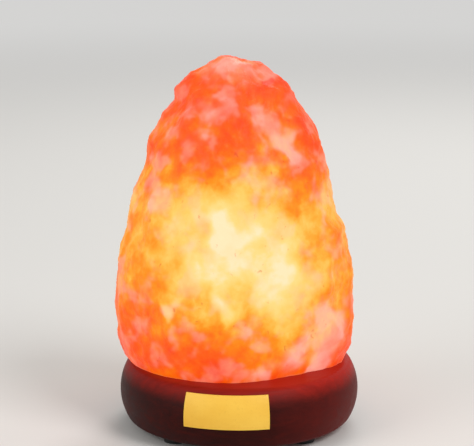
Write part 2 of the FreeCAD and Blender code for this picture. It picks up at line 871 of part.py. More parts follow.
def threaded_rod(radius, bottom, top):
    """A round-thread rod: a disc whose centre winds round the axis, so that it screws truly."""
    pitch, throw = value("thread_pitch"), value("thread_throw")
    winding = Part.makeHelix(pitch, top - bottom, throw)
    winding.rotate(Vector(), Vector(0, 0, 1), 360 * bottom / pitch)
    winding.translate(Vector(0, 0, bottom))
    spine = Part.Wire(winding.Edges)
    disc = Part.Wire([Part.makeCircle(radius, spine.OrderedVertexes[0].Point, Vector(0, 0, 1))])
    sweep = Part.BRepOffsetAPI.MakePipeShell(spine)
    sweep.setTrihedronMode(Vector(), Vector(0, 0, 1))
    sweep.add(disc)
    sweep.build()
    sweep.makeSolid()
    return sweep.shape()


def holder_shell():
    """A plain cup riveted to the sleeve's floor, with a shoulder that carries the threaded part."""
    shoulder_bottom = "shell_shoulder - metal_thickness"
    cup = turned(
        "shell_cup",
        [
            ("shell_ring_bore", "shell_seat"),
            ("shell_cup_radius", "shell_seat"),
            ("shell_cup_radius", "shell_shoulder"),
            ("cap_inner_radius", "shell_shoulder"),
            ("cap_inner_radius", shoulder_bottom),
            ("shell_cup_radius - metal_thickness", shoulder_bottom),
            ("shell_cup_radius - metal_thickness", "shell_ring_top"),
            ("shell_ring_bore", "shell_ring_top"),
        ],
    )
    thread = shaped(
        "shell_thread",
        threaded_rod(
            value("shell_thread_radius + metal_thickness"),
            value("shell_shoulder - metal_thickness / 2"),
            value("shell_top"),
        ),
    )
    thread_way = shaped(
        "shell_thread_way",
        threaded_rod(
            value("shell_thread_radius"),
            value("shell_shoulder - thread_pitch"),
            value("shell_top + thread_pitch"),
        ),
    )
    rivet_hole = cylinder(
        "shell_rivet_hole",
        "contact_rivet_radius + fit_gap",
        f"shell_seat - {PAST}",
        "shell_ring_top + metal_thickness",
        "shell_rivet_x",
    )
    metal = fuse("shell_metal", [cup, thread])
    return keep(cut("shell_cut", metal, [thread_way, rivet_hole]), "holder_shell")


def bulb_cap():
    """The bulb's threaded shell, with a plain collar above it that flares out round the glass."""
    outside = threaded_rod(value("thread_radius"), value("cap_bottom"), value("cap_thread_top"))
    inside = threaded_rod(
        value("thread_radius - metal_thickness"),
        value("cap_bottom - thread_pitch"),
        value("cap_thread_top + thread_pitch"),
    )
    tube = shaped("cap_tube", outside.cut(inside))
    lip = "cap_inner_radius - fit_gap"
    lip_bottom = "cap_thread_top - metal_thickness"
    skirt = turned(
        "cap_skirt",
        [
            (lip, lip_bottom),
            ("cap_collar_radius", lip_bottom),
            ("cap_collar_radius", "cap_collar_top"),
            ("cap_flare_radius", "cap_top"),
            ("cap_flare_radius - metal_thickness", "cap_top"),
            ("cap_collar_radius - metal_thickness", "cap_collar_top"),
            ("cap_collar_radius - metal_thickness", "cap_thread_top"),
            (lip, "cap_thread_top"),
        ],
    )
    return keep(fuse("cap_fused", [tube, skirt]), "bulb_cap")


holder_shell()
bulb_cap()


# ---------------------------------------------------------------- contacts, rivets and terminals


def centre_contact():
    """The sprung strip that the bulb's tip presses on."""
    foot_level = "chamber_floor + contact_strip_thickness / 2"
    pad_level = "bulb_tip - fit_gap - contact_strip_thickness / 2"
    path = [
        ("contact_rivet_x - contact_foot_length / 2", foot_level),
        ("contact_rivet_x + contact_foot_length / 2", foot_level),
        ("-contact_pad_length / 2", pad_level),
        ("contact_pad_length / 2", pad_level),
        ("contact_tongue_x", f"{pad_level} - contact_tongue_drop"),
    ]
    strip = bent_strip("contact_strip", path, "contact_strip_thickness", "contact_strip_width")
    hole = cylinder(
        "contact_strip_hole",
        "contact_rivet_radius + fit_gap",
        f"chamber_floor - {PAST}",
        "chamber_floor + contact_strip_thickness * 1.5",
        "contact_rivet_x",
    )
    return keep(cut("contact_cut", strip, [hole]), "holder_centre_contact")


def contact_rivet(name, x, metal_top):
    """A rivet from the terminal's thread up through the holder's floor to a head on the metal."""
    body = turned(
        name,
        [
            ("0", "holder_cap_top - contact_rivet_head_height"),
            ("contact_rivet_radius", "holder_cap_top - contact_rivet_head_height"),
            ("contact_rivet_radius", metal_top),
            ("contact_rivet_head_radius", metal_top),
            (f"contact_rivet_head_radius * {CROWN_SHARE}", f"{metal_top} + contact_rivet_head_height"),
            ("0", f"{metal_top} + contact_rivet_head_height"),
        ],
    )
    return place(body, (x, "0", "0"))


def terminal_block(name, x, rivet_x):
    """A brass block under the holder's floor, with a wire hole and a screw hole that meet."""
    bottom = "holder_cap_top - terminal_height"
    middle = "holder_cap_top - terminal_height / 2"
    blank = box(
        f"{name}_blank",
        (f"{x} - terminal_width / 2", "-terminal_depth / 2", bottom),
        (f"{x} + terminal_width / 2", "terminal_depth / 2", "holder_cap_top"),
    )
    wire_hole = back_cylinder(
        f"{name}_wire_hole", "wire_hole_radius", "0", f"terminal_depth / 2 + {PAST}", x, middle
    )
    screw_hole = cylinder(
        f"{name}_screw_hole",
        "terminal_screw_radius + fit_gap",
        f"{bottom} - {PAST}",
        middle,
        x,
        "terminal_depth / 4",
    )
    rivet_hole = cylinder(
        f"{name}_rivet_hole",
        "contact_rivet_radius + fit_gap",
        "holder_cap_top - contact_rivet_head_height * 2",
        f"holder_cap_top + {PAST}",
        rivet_x,
    )
    return keep(cut(f"{name}_cut", blank, [wire_hole, screw_hole, rivet_hole]), name)


def terminal_screw(name, x):
    bottom = "holder_cap_top - terminal_height"
    body = turned(
        name,
        [
            ("0", f"{bottom} - terminal_screw_head_height"),
            ("terminal_screw_head_radius", f"{bottom} - terminal_screw_head_height"),
            ("terminal_screw_head_radius", bottom),
            ("terminal_screw_radius", bottom),
            ("terminal_screw_radius", "holder_cap_top - terminal_height / 2 - wire_hole_radius"),
            ("0", "holder_cap_top - terminal_height / 2 - wire_hole_radius"),
        ],
    )
    return place(body, (x, "terminal_depth / 4", "0"))


TERMINALS = (
    ("line", "contact_rivet_x", "contact_rivet_x", "chamber_floor + contact_strip_thickness"),
    ("neutral", "neutral_terminal_x", "shell_rivet_x", "shell_ring_top"),
)

centre_contact()
for name, block_x, rivet_x, _ in TERMINALS:
    terminal_block(f"{name}_terminal", block_x, rivet_x)
keep(
    group("contact_rivet_group", [contact_rivet(f"{name}_rivet", x, top) for name, _, x, top in TERMINALS]),
    "contact_rivets",
)
keep(
    group("terminal_screw_group", [terminal_screw(f"{name}_screw", x) for name, x, _, _ in TERMINALS]),
    "terminal_screws",
)


# ---------------------------------------------------------------- bulb


def bulb_tip_contact():
    body = turned(
        "tip_body",
        [
            ("0", "bulb_tip"),
            ("tip_radius / 2", "bulb_tip"),
            ("tip_radius", "bulb_tip + tip_height / 2"),
            ("tip_radius", "tip_top"),
            ("0", "tip_top"),
        ],
    )
    return keep(body, "bulb_tip_contact")


def bulb_insulator():
    radius = "cap_inner_radius - fit_gap"
    body = turned(
        "insulator_body",
        [
            ("0", "insulator_bottom"),
            ("tip_radius", "insulator_bottom"),
            (radius, "cap_bottom"),
            (radius, "cap_bottom + insulator_seat"),
            ("0", "cap_bottom + insulator_seat"),
        ],
    )
    return keep(body, "bulb_insulator")


def bulb_glass():
    wall = "bulb_glass_thickness"
    shoulder = "dome_start - bulb_side_height"
    body = turned(
        "glass_body",
        [
            ("neck_radius", "neck_bottom"),
            ("neck_radius", "cap_collar_top"),
            ("neck_top_radius", "cap_top", "bulb_shoulder_radius", 1),
            ("bulb_radius", shoulder),
            ("bulb_radius", "dome_start", "bulb_radius", 1),
            ("0", "bulb_top"),
            ("0", f"bulb_top - {wall}", f"bulb_radius - {wall}", -1),
            (f"bulb_radius - {wall}", "dome_start"),
            (f"bulb_radius - {wall}", shoulder, f"bulb_shoulder_radius - {wall}", -1),
            (f"neck_top_radius - {wall}", "cap_top"),
            (f"neck_radius - {wall}", "cap_collar_top"),
            (f"neck_radius - {wall}", "neck_bottom"),
        ],
    )
    return keep(body, "bulb_glass")


def bulb_stem():
    flange = "neck_radius - bulb_glass_thickness - fit_gap"
    body = turned(
        "stem_body",
        [
            ("0", "neck_bottom"),
            (flange, "neck_bottom"),
            (flange, "neck_bottom + bulb_glass_thickness"),
            ("stem_radius", "neck_bottom + stem_radius * 2"),
            ("stem_radius", "stem_top - stem_radius"),
            (f"stem_radius * {CROWN_SHARE}", "stem_top"),
            ("0", "stem_top"),
        ],
    )
    return keep(body, "bulb_stem")


def lead_wire(side):
    """A straight wire from the stem's top out to one end of the filament."""
    start = Vector(side * value("stem_radius / 2"), 0, value("stem_top + fit_gap + lead_wire_radius"))
    end = Vector(side * value("filament_spread"), 0, value("filament_height"))
    way = end - start
    return Part.makeCylinder(value("lead_wire_radius"), way.Length, start, way)


def bulb_filament():
    """A bowed wire from one lead wire to the other."""
    reach = value("filament_spread")
    height = value("filament_height + lead_wire_radius + filament_radius + fit_gap")
    ends = [Vector(side * reach, 0, height) for side in SIDES]
    bow = Part.Arc(ends[0], Vector(0, 0, height + value("filament_bow")), ends[1])
    spine = Part.Wire(bow.toShape())
    way = bow.tangent(bow.FirstParameter)[0]
    disc = Part.Wire([Part.makeCircle(value("filament_radius"), ends[0], way)])
    return keep(shaped("filament_wire", spine.makePipeShell([disc], True, False)), "bulb_filament")


bulb_tip_contact()
bulb_insulator()
bulb_glass()
bulb_stem()
keep(shaped("lead_wire_pair", Part.makeCompound([lead_wire(side) for side in SIDES])), "bulb_lead_wires")
bulb_filament()


# ---------------------------------------------------------------- check and write

doc.recompute()
for item in doc.Objects:
    if "Invalid" in item.State or "Error" in item.State:
        raise RuntimeError(f"{item.Name} ({item.Label}) did not compute: {item.State}")
for piece in NODES:
    if piece.Shape.isNull() or not piece.Shape.isValid() or not piece.Shape.Solids:
        raise RuntimeError(f"{piece.Label} has no valid solid")

os.makedirs("parts", exist_ok=True)
for piece in NODES:
    piece.Shape.exportStep(f"parts/{piece.Label}.step")
    box_of = piece.Shape.BoundBox
    print(
        f"{piece.Label:24s} solids {len(piece.Shape.Solids)}  volume {piece.Shape.Volume:11.1f}"
        f"  x {box_of.XMin:7.2f} {box_of.XMax:7.2f}  y {box_of.YMin:7.2f} {box_of.YMax:7.2f}"
        f"  z {box_of.ZMin:7.2f} {box_of.ZMax:7.2f}"
    )
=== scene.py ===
import json
import math
import random

import bmesh
import bpy
import numpy as np
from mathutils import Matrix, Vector, noise
from mathutils.bvhtree import BVHTree


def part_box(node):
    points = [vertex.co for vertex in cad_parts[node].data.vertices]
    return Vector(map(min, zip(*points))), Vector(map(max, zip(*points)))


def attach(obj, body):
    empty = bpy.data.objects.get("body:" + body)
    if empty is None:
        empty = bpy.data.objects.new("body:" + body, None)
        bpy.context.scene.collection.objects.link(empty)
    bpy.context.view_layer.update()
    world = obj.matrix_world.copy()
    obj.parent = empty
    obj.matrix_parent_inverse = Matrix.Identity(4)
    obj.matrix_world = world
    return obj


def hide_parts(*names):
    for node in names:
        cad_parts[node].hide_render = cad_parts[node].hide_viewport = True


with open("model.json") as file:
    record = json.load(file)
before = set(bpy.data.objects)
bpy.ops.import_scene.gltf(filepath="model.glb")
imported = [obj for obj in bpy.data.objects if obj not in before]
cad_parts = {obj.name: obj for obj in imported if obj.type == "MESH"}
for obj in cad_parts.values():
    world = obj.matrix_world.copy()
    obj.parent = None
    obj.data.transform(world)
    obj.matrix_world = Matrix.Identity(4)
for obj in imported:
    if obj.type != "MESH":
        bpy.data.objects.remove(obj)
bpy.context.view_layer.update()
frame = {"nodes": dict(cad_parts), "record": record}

# A lit salt crystal lamp. The crystal is a modelled mesh round the frame's plain crystal, and every
# other piece keeps its own shape and gets its finish here. Lengths are in metres unless a comment
# says otherwise, and colours are sRGB of 0 to 255 until linear() turns them into shader values.
# The lamp stands on the floor with its axis at x = y = 0, and its front is the -Y side.

NODES = frame["nodes"]
MM = 0.001
BLACK = (0, 0, 0, 1)

crystal_low, crystal_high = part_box("salt_crystal")
base_low, base_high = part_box("wooden_base")
bulb_low, bulb_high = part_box("bulb_glass")
base_top = base_high.z
base_radius = (base_high.x - base_low.x) / 2


# ---------------------------------------------------------------- node helper


def linear(colour):
    """An sRGB colour of 0 to 255 as linear values."""
    shares = [channel / 255 for channel in colour]
    parts = [s / 12.92 if s <= 0.04045 else ((s + 0.055) / 1.055) ** 2.4 for s in shares]
    return (*parts, 1.0)


class Graph:
    """A material with one Principled shader, and short ways to add nodes to it."""

    MIX_INPUTS = (0, 6, 7)  # the factor and the two colours among a Mix node's inputs
    MIX_RESULT = 2  # the mixed colour among its outputs

    def __init__(self, name):
        self.material = bpy.data.materials.new(name)
        self.material.use_nodes = True
        self.tree = self.material.node_tree
        self.shader = self.tree.nodes["Principled BSDF"]
        self.place = self.tree.nodes.new("ShaderNodeTexCoord").outputs["Object"]

    def feed(self, socket, setting):
        """Links an input to another node's output, or writes a value into it."""
        if isinstance(setting, bpy.types.NodeSocket):
            self.tree.links.new(setting, socket)
        else:
            socket.default_value = setting

    def feed_in_order(self, node, settings):
        for socket, setting in zip(node.inputs, settings):
            self.feed(socket, setting)
        return node

    def set(self, node, **settings):
        """Feeds inputs by name; a name that is no input is a setting of the node itself."""
        for name, setting in settings.items():
            key = name.replace("_", " ")
            if key in node.inputs:
                self.feed(node.inputs[key], setting)
            else:
                setattr(node, name, setting)
        return node

    def add(self, kind, **settings):
        return self.set(self.tree.nodes.new("ShaderNode" + kind), **settings)

    def math(self, operation, *values):
        return self.feed_in_order(self.add("Math", operation=operation), values).outputs[0]

    def vector_math(self, operation, *values, result="Vector"):
        node = self.add("VectorMath", operation=operation)
        return self.feed_in_order(node, values).outputs[result]

    def distance(self, place, centre):
        """How far a place is from a centre given in mm."""
        centre = [part * MM for part in centre]
        return self.vector_math("DISTANCE", place, centre, result="Value")

    def coordinates(self):
        """The place's x, y and z."""
        return self.add("SeparateXYZ", Vector=self.place).outputs

    def noise(self, scale, detail=4.0, roughness=0.6, distortion=0.0, place=None, result="Fac"):
        node = self.add(
            "TexNoise",
            Vector=place or self.place,
            Scale=scale,
            Detail=detail,
            Roughness=roughness,
            Distortion=distortion,
        )
        return node.outputs[result]

    def stretch(self, x, y, z):
        """The place, scaled apart along each axis."""
        return self.add("Mapping", Vector=self.place, Scale=(x, y, z)).outputs["Vector"]

    def between(self, value, low, high, to_low=0.0, to_high=1.0):
        """A value's share of the way from low to high, smoothed, clamped and put on a new span."""
        node = self.add("MapRange", interpolation_type="SMOOTHSTEP")
        return self.feed_in_order(node, (value, low, high, to_low, to_high)).outputs[0]

    def ramp(self, value, stops):
        """A colour ramp; each stop is (position, colour)."""
        node = self.add("ValToRGB", Fac=value)
        elements = node.color_ramp.elements
        while len(elements) < len(stops):
            elements.new(0.5)
        for element, (position, colour) in zip(elements, stops):
            element.position = position
            element.color = linear(colour)
        return node.outputs["Color"]

    def mix(self, share, first, second):
        node = self.add("Mix", data_type="RGBA")
        for index, setting in zip(self.MIX_INPUTS, (share, first, second)):
            self.feed(node.inputs[index], setting)
        return node.outputs[self.MIX_RESULT]

    def bump(self, height, distance, strength, normal=None):
        node = self.add("Bump", Height=height, Distance=distance, Strength=strength)
        if normal:
            self.feed(node.inputs["Normal"], normal)
        return node.outputs["Normal"]

    def finish(self, **settings):
        self.set(self.shader, **settings)
        return self.material


# ---------------------------------------------------------------- salt


# The glow falls off evenly from this centre (mm), between these distances (mm) and these heats.
GLOW_CENTRE = (-3, 0, 97)
GLOW_NEAR, GLOW_FAR = 40, 90
NEAR_HEAT, FAR_HEAT = 0.82, 0.16

# Places where it differs from that: centre and radius in mm, and how much hotter or colder the
# middle is. Those on the front follow the photograph's lighter and darker places, and those at the
# back are made up.
HEAT_PATCHES = (
    ((-7, -47, 114), 13, 0.22),
    ((10, -46, 100), 28, 0.16),
    ((20, -44, 84), 16, 0.08),
    ((-12, -47, 94), 14, 0.12),
    ((-24, -44, 114), 15, 0.14),
    ((-8, -51, 76), 8, 0.24),
    ((-14, -50, 68), 7, 0.12),
    ((36, -33, 104), 14, -0.14),
    ((40, -36, 80), 14, 0.10),
    ((24, -44, 68), 14, 0.12),
    ((-50, -29, 97), 14, -0.04),
    ((-48, -34, 70), 18, -0.15),
    ((-34, -46, 71), 6, 0.26),
    ((-16, -50, 54), 20, -0.12),
    ((-42, -38, 46), 18, -0.06),
    ((24, -42, 50), 20, 0.12),
    ((42, -28, 50), 14, 0.16),
    ((-26, -40, 132), 14, 0.10),
    ((34, -26, 128), 14, -0.18),
    ((-22, -36, 146), 22, -0.16),
    ((10, -36, 148), 20, -0.16),
    ((34, -18, 146), 18, -0.16),
    ((-44, -16, 142), 16, -0.24),
    ((-16, -30, 164), 12, 0.14),
    ((21, -25, 157), 12, 0.14),
    ((20, -20, 172), 12, 0.08),
    ((-5, -12, 191), 18, 0.22),
    ((11, -15, 183), 3, -0.40),
    ((30, -24, 141), 4, -0.20),
    ((10, 46, 104), 24, 0.20),
    ((-24, 42, 92), 16, 0.12),
    ((30, 36, 66), 18, -0.14),
    ((-10, 34, 148), 22, -0.16),
    ((-56, 6, 100), 18, 0.12),
    ((-58, 4, 58), 16, -0.12),
    ((-42, 8, 142), 20, -0.14),
    ((54, 4, 88), 20, 0.12),
    ((50, 10, 52), 16, -0.10),
    ((36, 10, 144), 20, -0.14),
)
# The same for the milky pink salt: centre and radius in mm, and its share in the middle.
MILK_PATCHES = (
    ((-5, -12, 191), 17, 0.75),
    ((14, -12, 188), 9, 0.60),
    ((-26, -22, 170), 7, 0.75),
    ((-14, -28, 174), 8, 1.10),
    ((-8, -28, 168), 6, 1.00),
    ((-16, -32, 160), 7, 0.75),
    ((13, -24, 164), 7, 0.95),
    ((22, -25, 156), 10, 1.40),
    ((28, -24, 148), 7, 1.10),
    ((8, -38, 141), 7, 1.10),
    ((6, -42, 131), 7, 0.90),
    ((-42, -30, 125), 10, 0.95),
    ((-24, -44, 112), 10, 0.50),
    ((-33, -46, 71), 6, 1.10),
    ((40, -36, 80), 11, 0.95),
    ((45, -28, 56), 17, 1.00),
    ((24, -40, 42), 12, 1.10),
    ((42, -26, 40), 12, 0.95),
    ((4, -48, 66), 8, 0.50),
    ((-20, -20, 180), 8, 0.60),
    ((-18, 36, 150), 14, 0.95),
    ((22, 40, 128), 12, 0.85),
    ((44, 24, 60), 15, 0.95),
    ((-46, 26, 54), 14, 0.85),
    ((-44, 10, 128), 12, 0.90),
    ((40, 6, 132), 12, 0.90),
)
PATCH_FULL, PATCH_GONE = 0.2, 1.25  # a patch fades between these shares of its radius

# Noise that pushes places about, so that patches get a natural edge: its scale and reach in mm.
SWIRLS = ((40, 24), (120, 8))
# Cloudy growth in the salt, from broad to fine: noise scale, detail, and its amount of heat.
CLOUDS = ((50, 2, 0.36), (125, 1.5, 0.38), (330, 2, 0.20))
CLOUDS_IN_GLARE = 0.32  # what is left of the clouds where the salt is brightest
RELIEF = "relief"  # the crystal mesh's attribute that says how far chipping moved its surface
CHIP_HEAT = 0.12  # the salt is thinner, so hotter, where a chip went deep
VEIN_BALANCE = 0.40  # taken off the milky veins, so that they clear the salt as much as cloud it

# The lit salt from cold to hot.
CLEAR_SALT = (
    (0.00, (236, 52, 4)),
    (0.15, (250, 76, 0)),
    (0.30, (255, 98, 0)),
    (0.45, (255, 126, 0)),
    (0.58, (255, 154, 8)),
    (0.70, (255, 190, 60)),
    (0.82, (255, 220, 106)),
    (0.92, (255, 236, 144)),
    (1.00, (255, 250, 200)),
)
MILKY_SALT = (
    (0.00, (248, 104, 88)),
    (0.25, (255, 144, 126)),
    (0.45, (255, 172, 152)),
    (0.62, (255, 190, 148)),
    (0.80, (255, 210, 142)),
    (1.00, (255, 238, 180)),
)


def patch_sum(g, place, patches):
    """The patches' amounts at a place, added up."""
    total = 0.0
    for centre, radius, amount in patches:
        full, gone = PATCH_FULL * radius * MM, PATCH_GONE * radius * MM
        share = g.between(g.distance(place, centre), full, gone, amount, 0.0)
        total = g.math("ADD", total, share)
    return total


def warped_place(g):
    """The place pushed about by noise, so that what is measured from it gets a natural edge."""
    place = g.place
    for scale, push in SWIRLS:
        swirl = g.noise(scale, detail=1.0, roughness=0.5, result="Color")
        centred = g.vector_math("SUBTRACT", swirl, (0.5, 0.5, 0.5))
        place = g.vector_math("MULTIPLY_ADD", centred, (push * MM,) * 3, place)
    return place


def salt_heat(g, place):
    """How hot the glow is: the even fall-off, the patches, the clouds and the chips."""
    away = g.distance(place, GLOW_CENTRE)
    heat = g.between(away, GLOW_NEAR * MM, GLOW_FAR * MM, NEAR_HEAT, FAR_HEAT)
    heat = g.math("ADD", heat, patch_sum(g, place, HEAT_PATCHES))
    clouds = 0.0
    for scale, detail, amount in CLOUDS:
        cloud = g.math("SUBTRACT", g.noise(scale, detail, roughness=0.5, distortion=0.3), 0.5)
        clouds = g.math("ADD", clouds, g.math("MULTIPLY", cloud, amount))
    calm = g.between(heat, 0.5, 0.95, to_low=1.0, to_high=CLOUDS_IN_GLARE)
    heat = g.math("ADD", heat, g.math("MULTIPLY", clouds, calm))
    relief = g.add("Attribute", attribute_name=RELIEF).outputs["Fac"]
    return g.math("ADD", heat, g.math("MULTIPLY", g.math("SUBTRACT", 0.5, relief), CHIP_HEAT))


def salt_material():
    """Rock salt lit from inside: hot where the bulb is near, red and milky where it is thick."""
    g = Graph("rock_salt")
    place = warped_place(g)
    heat = salt_heat(g, place)
    veins = g.noise(85, detail=2, roughness=0.5, distortion=0.2)
    veins = g.math("SUBTRACT", g.between(veins, 0.42, 0.68, to_high=0.8), VEIN_BALANCE)
    milk = g.math("ADD", patch_sum(g, place, MILK_PATCHES), veins)
    clear, milky = g.ramp(heat, CLEAR_SALT), g.ramp(heat, MILKY_SALT)
    glow = g.mix(g.between(milk, -0.35, 1.1), clear, milky)
    # small dark freckles in the salt
    freckles = g.noise(230, detail=3, roughness=0.5, distortion=0.3)
    glow = g.mix(g.between(freckles, 0.66, 0.76, to_high=0.4), glow, linear((196, 52, 26)))
    coarse = g.bump(g.noise(220), distance=1.5 * MM, strength=0.4)
    grain = g.bump(g.noise(700), distance=0.6 * MM, strength=0.35, normal=coarse)
    return g.finish(
        Base_Color=g.mix(milk, linear((120, 30, 12)), linear((136, 60, 44))),
        Emission_Color=glow,
        Emission_Strength=0.86,
        Roughness=g.between(g.noise(90), 0.3, 0.7, 0.42, 0.6),
        Normal=grain,
        Specular_IOR_Level=0.22,
        Sheen_Weight=0.3,
        Sheen_Roughness=0.35,
        Sheen_Tint=linear((255, 214, 206)),
    )


# ---------------------------------------------------------------- other materials


# The crystal's red light on the base's ledge is painted into the wood as emission. It grows between
# these depths below the base's top, and over this width in from the base's edge.
LEDGE_DARK, LEDGE_LIT = 9.5 * MM, 0.5 * MM
LEDGE_WIDTH = 12 * MM
DULL_SHARE = 0.7  # of a metal's dark tone, where it is tarnished
BULB_CROWN = 12 * MM  # the bulb's glow is at its full this far below the bulb's top


def wood_material():
    """Dark red-brown stained wood turned on a lathe, with the crystal's red light painted on its
    ledge.
    """
    g = Graph("stained_wood")
    grain = g.noise(4, detail=6, roughness=0.65, distortion=0.6, place=g.stretch(6, 60, 60))
    pores = g.noise(26, detail=3, roughness=0.5, place=g.stretch(8, 90, 90))
    colour = g.ramp(grain, [(0.25, (36, 6, 4)), (0.5, (52, 10, 7)), (0.75, (70, 15, 9))])
    colour = g.mix(g.between(pores, 0.58, 0.7, to_high=0.6), colour, linear((30, 9, 8)))
    x, y, z = g.coordinates()
    across = g.math("SQRT", g.math("ADD", g.math("MULTIPLY", x, x), g.math("MULTIPLY", y, y)))
    # the painted red light is stronger on the right, and goes faintly down the right front
    level = g.between(z, base_top - LEDGE_DARK, base_top - LEDGE_LIT)
    inward = g.between(across, base_radius, base_radius - LEDGE_WIDTH, 0.6, 1.0)
    rightward = g.between(x, -base_radius, base_radius, 0.7, 1.3)
    painted_red_light = g.math("MULTIPLY", g.math("MULTIPLY", level, inward), rightward)
    painted_red_light = g.math("MULTIPLY", painted_red_light, g.between(grain, 0.2, 0.8, 0.75, 1.1))
    painted_red_light = g.math("ADD", painted_red_light, g.between(x, 0.0, base_radius, to_high=0.17))
    return g.finish(
        Base_Color=colour,
        # the crystal's red light on the ledge and the right side, painted as the wood's own
        # emission
        Emission_Color=g.mix(painted_red_light, BLACK, linear((160, 24, 12))),
        Emission_Strength=1.0,
        Roughness=g.between(grain, 0.2, 0.8, 0.42, 0.58),
        Normal=g.bump(
            pores,
            distance=0.2 * MM,
            strength=0.3,
            normal=g.bump(grain, distance=0.3 * MM, strength=0.25),
        ),
        Specular_IOR_Level=0.1,
    )


def label_material():
    """Gold-yellow paper, a little stained."""
    g = Graph("gold_label")
    fibre = g.noise(900, detail=3)
    stain = g.noise(60, detail=3, roughness=0.5)
    colour = g.ramp(stain, [(0.3, (244, 188, 58)), (0.7, (252, 202, 74))])
    colour = g.mix(g.between(fibre, 0.55, 0.75, to_high=0.18), colour, linear((206, 150, 52)))
    return g.finish(
        Base_Color=colour,
        Roughness=g.between(fibre, 0.3, 0.7, 0.42, 0.58),
        Normal=g.bump(fibre, distance=0.04 * MM, strength=0.4),
    )


def rubber_material():
    """Black rubber with some dust on it."""
    g = Graph("black_rubber")
    dust = g.noise(300)
    return g.finish(
        Base_Color=g.ramp(dust, [(0.4, (24, 24, 25)), (0.75, (44, 43, 42))]),
        Roughness=g.between(dust, 0.3, 0.7, 0.62, 0.8),
        Normal=g.bump(dust, distance=0.1 * MM, strength=0.3),
    )


def metal_material(name, dark, light, roughness, scale):
    """Metal with fine wear: a bright and a dull tone, and roughness that follows them."""
    g = Graph(name)
    fine = g.noise(scale)
    broad = g.noise(90, detail=3, roughness=0.5)
    dull = tuple(int(channel * DULL_SHARE) for channel in dark)
    tarnish = g.between(broad, 0.5, 0.75, to_high=0.25)
    return g.finish(
        Base_Color=g.mix(tarnish, g.ramp(fine, [(0.35, dark), (0.65, light)]), linear(dull)),
        Metallic=1.0,
        Roughness=g.between(broad, 0.3, 0.7, roughness - 0.06, roughness + 0.1),
        Normal=g.bump(fine, distance=0.02 * MM, strength=0.15),
    )


def plastic_material(name, dark, light, roughness):
    """Plastic or black glass with two near tones."""
    g = Graph(name)
    fine = g.noise(400)
    return g.finish(
        Base_Color=g.ramp(fine, [(0.35, dark), (0.7, light)]),
        Roughness=g.between(fine, 0.3, 0.7, roughness - 0.05, roughness + 0.08),
        Normal=g.bump(fine, distance=0.03 * MM, strength=0.15),
    )


def bulb_glass_material():
    """Clear glass, warm with the light inside it and faintly streaked."""
    g = Graph("bulb_glass")
    streak = g.noise(120, detail=3, roughness=0.5)
    _, _, z = g.coordinates()
    middle = g.between(z, bulb_low.z, bulb_high.z - BULB_CROWN, 0.1, 1.0)
    return g.finish(
        Base_Color=linear((255, 244, 226)),
        Emission_Color=g.mix(middle, linear((60, 30, 8)), linear((255, 206, 128))),
        Emission_Strength=0.28,
        Roughness=g.between(streak, 0.3, 0.7, 0.02, 0.07),
        Transmission_Weight=0.92,
        IOR=1.5,
    )


def filament_material():
    """Tungsten wire, glowing."""
    g = Graph("tungsten")
    flicker = g.noise(2000, detail=2, roughness=0.5)
    return g.finish(
        Base_Color=linear((250, 220, 170)),
        Emission_Color=g.ramp(flicker, [(0.3, (255, 205, 120)), (0.7, (255, 240, 190))]),
        Emission_Strength=6.0,
        Roughness=0.5,
    )


# Dark tone, light tone, roughness, and for metals the scale of the fine wear.
METALS = {
    "zinc_steel": ((168, 168, 172), (206, 207, 211), 0.34, 500),
    "plated_steel": ((192, 193, 196), (208, 209, 211), 0.26, 260),
    "spring_steel": ((168, 170, 174), (186, 188, 192), 0.3, 700),
    "brass": ((182, 140, 62), (222, 184, 98), 0.28, 500),
    "nickel_cap": ((190, 190, 186), (224, 224, 220), 0.22, 500),
    "solder": ((150, 150, 148), (196, 196, 194), 0.38, 900),
    "lead_wire": ((150, 146, 138), (190, 186, 178), 0.35, 500),
}
PLASTICS = {
    "nylon": ((208, 205, 196), (228, 226, 218), 0.45),
    "phenolic": ((22, 21, 20), (29, 27, 26), 0.28),
    "cap_glass": ((12, 12, 14), (26, 26, 30), 0.12),
}
SALT = salt_material()
MATERIALS = {
    "salt": SALT,
    "stained_wood": wood_material(),
    "gold_label": label_material(),
    "black_rubber": rubber_material(),
    "bulb_glass": bulb_glass_material(),
    "tungsten": filament_material(),
}
MATERIALS.update({name: metal_material(name, *look) for name, look in METALS.items()})
MATERIALS.update({name: plastic_material(name, *look) for name, look in PLASTICS.items()})


def dress(piece, material):
    piece.data.materials.clear()
    piece.data.materials.append(material)


for entry in frame["record"]["subparts"]:
    dress(NODES[entry["node"]], MATERIALS[entry["material_slot"]])


# ---------------------------------------------------------------- salt crystal

SPOKES = 360  # points in each row round the crystal
SIDE_STEP = 1.1 * MM  # between rows up the side
CROWN_START = 0.70  # share of the height where the rows start to fan up over the crown
CROWN_ROWS = 66
FOOT_LIFT = 0.05 * MM  # the lowest row is aimed this far above the crystal's foot
AIM_FROM = 0.3  # rays come in from this far off the axis, well outside the crystal

# Dents in the surface: how many, their radii, and their depths as shares of the radius.
DENTS = 260
DENT_RADII = (3.5, 11)  # mm
DENT_DEPTHS = (0.05, 0.10)
CHIP_SEED = 11
# Roughness from broad to fine, in mm: size, height, and a shift that sets each apart.
ROUGHNESS = ((12, 0.45, (0, 0, 0)), (5, 0.55, (7, 3, 1)), (2, 0.36, (0, 0, 0)))
RELIEF_SPAN = 3 * MM  # of surface movement over which the relief attribute goes from 0 to 1

